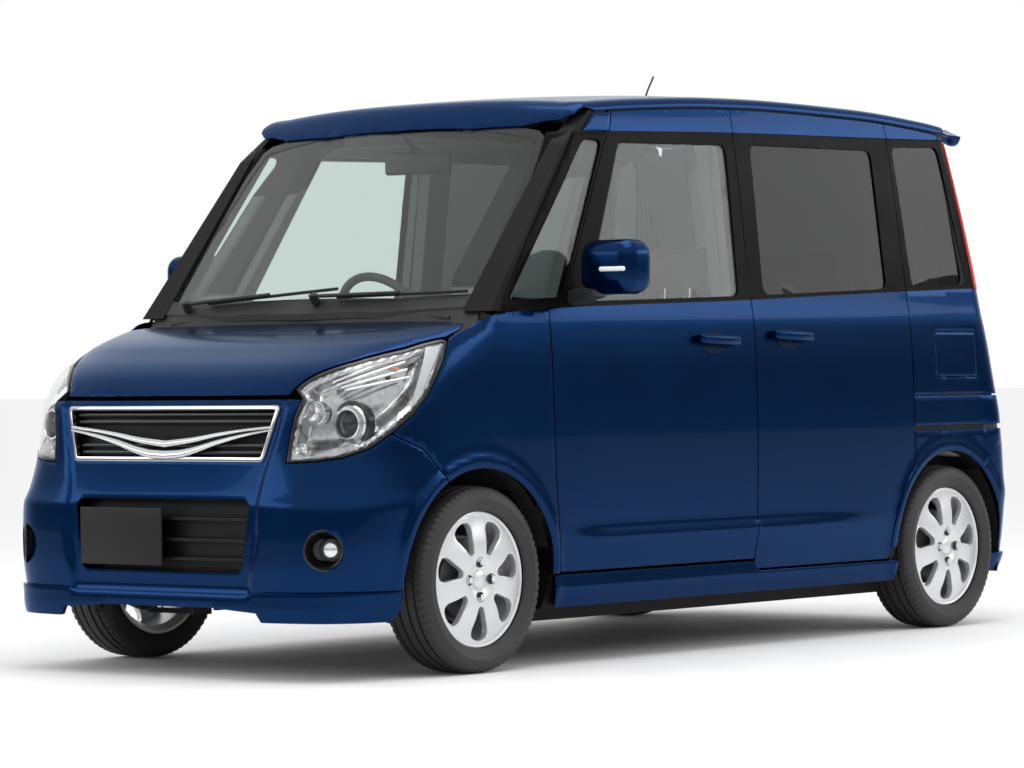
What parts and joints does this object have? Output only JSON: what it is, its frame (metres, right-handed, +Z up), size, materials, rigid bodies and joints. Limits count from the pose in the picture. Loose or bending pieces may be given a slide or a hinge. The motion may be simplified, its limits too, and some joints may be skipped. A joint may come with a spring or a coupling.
{
  "type": "tall five-door kei car",
  "caption": "Tall one-box kei car in dark blue with a short nose, hinged front doors, sliding rear doors, a top-hung tailgate and alloy wheels.",
  "frame": {"origin": "on the ground, midway along and across the car", "axes": "+Y towards the tail, +X towards the left side, +Z up"},
  "size_m": [1.8154, 3.3937, 1.8292],
  "materials": {
    "paint": "dark blue metallic under clear coat",
    "chassis": "satin black",
    "black_trim": "grained black",
    "bright_trim": "bright plated",
    "lamp_lens": "clear lens",
    "red_lens": "red lens",
    "clear_glass": "light green tint",
    "dark_glass": "privacy tint",
    "dash": "grained grey",
    "seat_cloth": "woven grey",
    "engine_metal": "as cast",
    "tyre": "black rubber",
    "alloy": "silver painted alloy"
  },
  "bodies": {
    "car_body": {"body_side_left": "paint", "body_side_right": "paint", "roof_panel": "paint", "floor_pan": "chassis", "bulkhead": "chassis", "wheel_liners": "black_trim", "wing_left": "paint", "wing_right": "paint", "front_bumper": "paint", "rear_bumper": "paint", "upper_grille": "bright_trim", "lower_grille": "black_trim", "front_lamps": "lamp_lens", "tail_lamps": "red_lens", "windscreen": "clear_glass", "side_glass": "dark_glass", "sliding_door_left": "paint", "sliding_door_right": "paint", "hinge_pins": "chassis", "dashboard": "dash", "steering_wheel": "dash", "front_seats": "seat_cloth", "rear_seat": "seat_cloth", "engine": "engine_metal", "front_suspension": "chassis", "rear_axle": "chassis", "underfloor": "chassis", "wipers": "black_trim", "antenna": "black_trim"},
    "front_door_left": {"front_door_left": "paint", "door_glass_left": "clear_glass", "mirror_left": "paint"},
    "front_door_right": {"front_door_right": "paint", "door_glass_right": "clear_glass", "mirror_right": "paint"},
    "tailgate": {"tailgate": "paint", "rear_glass": "dark_glass"},
    "bonnet": {"bonnet": "paint"},
    "fuel_lid": {"fuel_lid": "paint"},
    "knuckle_left": {"knuckle_left": "engine_metal"},
    "knuckle_right": {"knuckle_right": "engine_metal"},
    "wheel_front_left": {"tyre_front_left": "tyre", "rim_front_left": "alloy"},
    "wheel_front_right": {"tyre_front_right": "tyre", "rim_front_right": "alloy"},
    "wheel_rear_left": {"tyre_rear_left": "tyre", "rim_rear_left": "alloy"},
    "wheel_rear_right": {"tyre_rear_right": "tyre", "rim_rear_right": "alloy"}
  },
  "joints": [
    {"name": "front_door_left_swing", "type": "hinge", "parent": "car_body", "child": "front_door_left", "pos_m": [0.69991, -0.7535, 0.65], "axis": [0, 0, -1], "range_deg": [0, 65]},
    {"name": "front_door_right_swing", "type": "hinge", "parent": "car_body", "child": "front_door_right", "pos_m": [-0.69991, -0.7535, 0.65], "axis": [0, 0, 1], "range_deg": [0, 65]},
    {"name": "tailgate_swing", "type": "hinge", "parent": "car_body", "child": "tailgate", "pos_m": [0, 1.424, 1.675], "axis": [1, 0, 0], "range_deg": [0, 80]},
    {"name": "bonnet_swing", "type": "hinge", "parent": "car_body", "child": "bonnet", "pos_m": [0, -1.135, 0.99], "axis": [-1, 0, 0], "range_deg": [0, 45]},
    {"name": "fuel_lid_swing", "type": "hinge", "parent": "car_body", "child": "fuel_lid", "pos_m": [0.70777, 1.2365, 0.904], "axis": [0, 0, -1], "range_deg": [0, 95]},
    {"name": "steer_left", "type": "hinge", "parent": "car_body", "child": "knuckle_left", "pos_m": [0.6, -1.1175, 0.268], "axis": [0, 0, 1], "range_deg": [-35, 35]},
    {"name": "steer_right", "type": "hinge", "parent": "car_body", "child": "knuckle_right", "pos_m": [-0.6, -1.1175, 0.268], "axis": [0, 0, 1], "range_deg": [-35, 35]},
    {"name": "wheel_front_left_spin", "type": "hinge", "parent": "knuckle_left", "child": "wheel_front_left", "pos_m": [0.645, -1.1175, 0.268], "axis": [1, 0, 0], "continuous": true},
    {"name": "wheel_front_right_spin", "type": "hinge", "parent": "knuckle_right", "child": "wheel_front_right", "pos_m": [-0.645, -1.1175, 0.268], "axis": [1, 0, 0], "continuous": true},
    {"name": "wheel_rear_left_spin", "type": "hinge", "parent": "car_body", "child": "wheel_rear_left", "pos_m": [0.645, 1.2825, 0.268], "axis": [1, 0, 0], "continuous": true},
    {"name": "wheel_rear_right_spin", "type": "hinge", "parent": "car_body", "child": "wheel_rear_right", "pos_m": [-0.645, 1.2825, 0.268], "axis": [1, 0, 0], "continuous": true}
  ],
  "couplings": [
    {"joint": "steer_right", "follows": "steer_left", "ratio": 1}
  ]
}
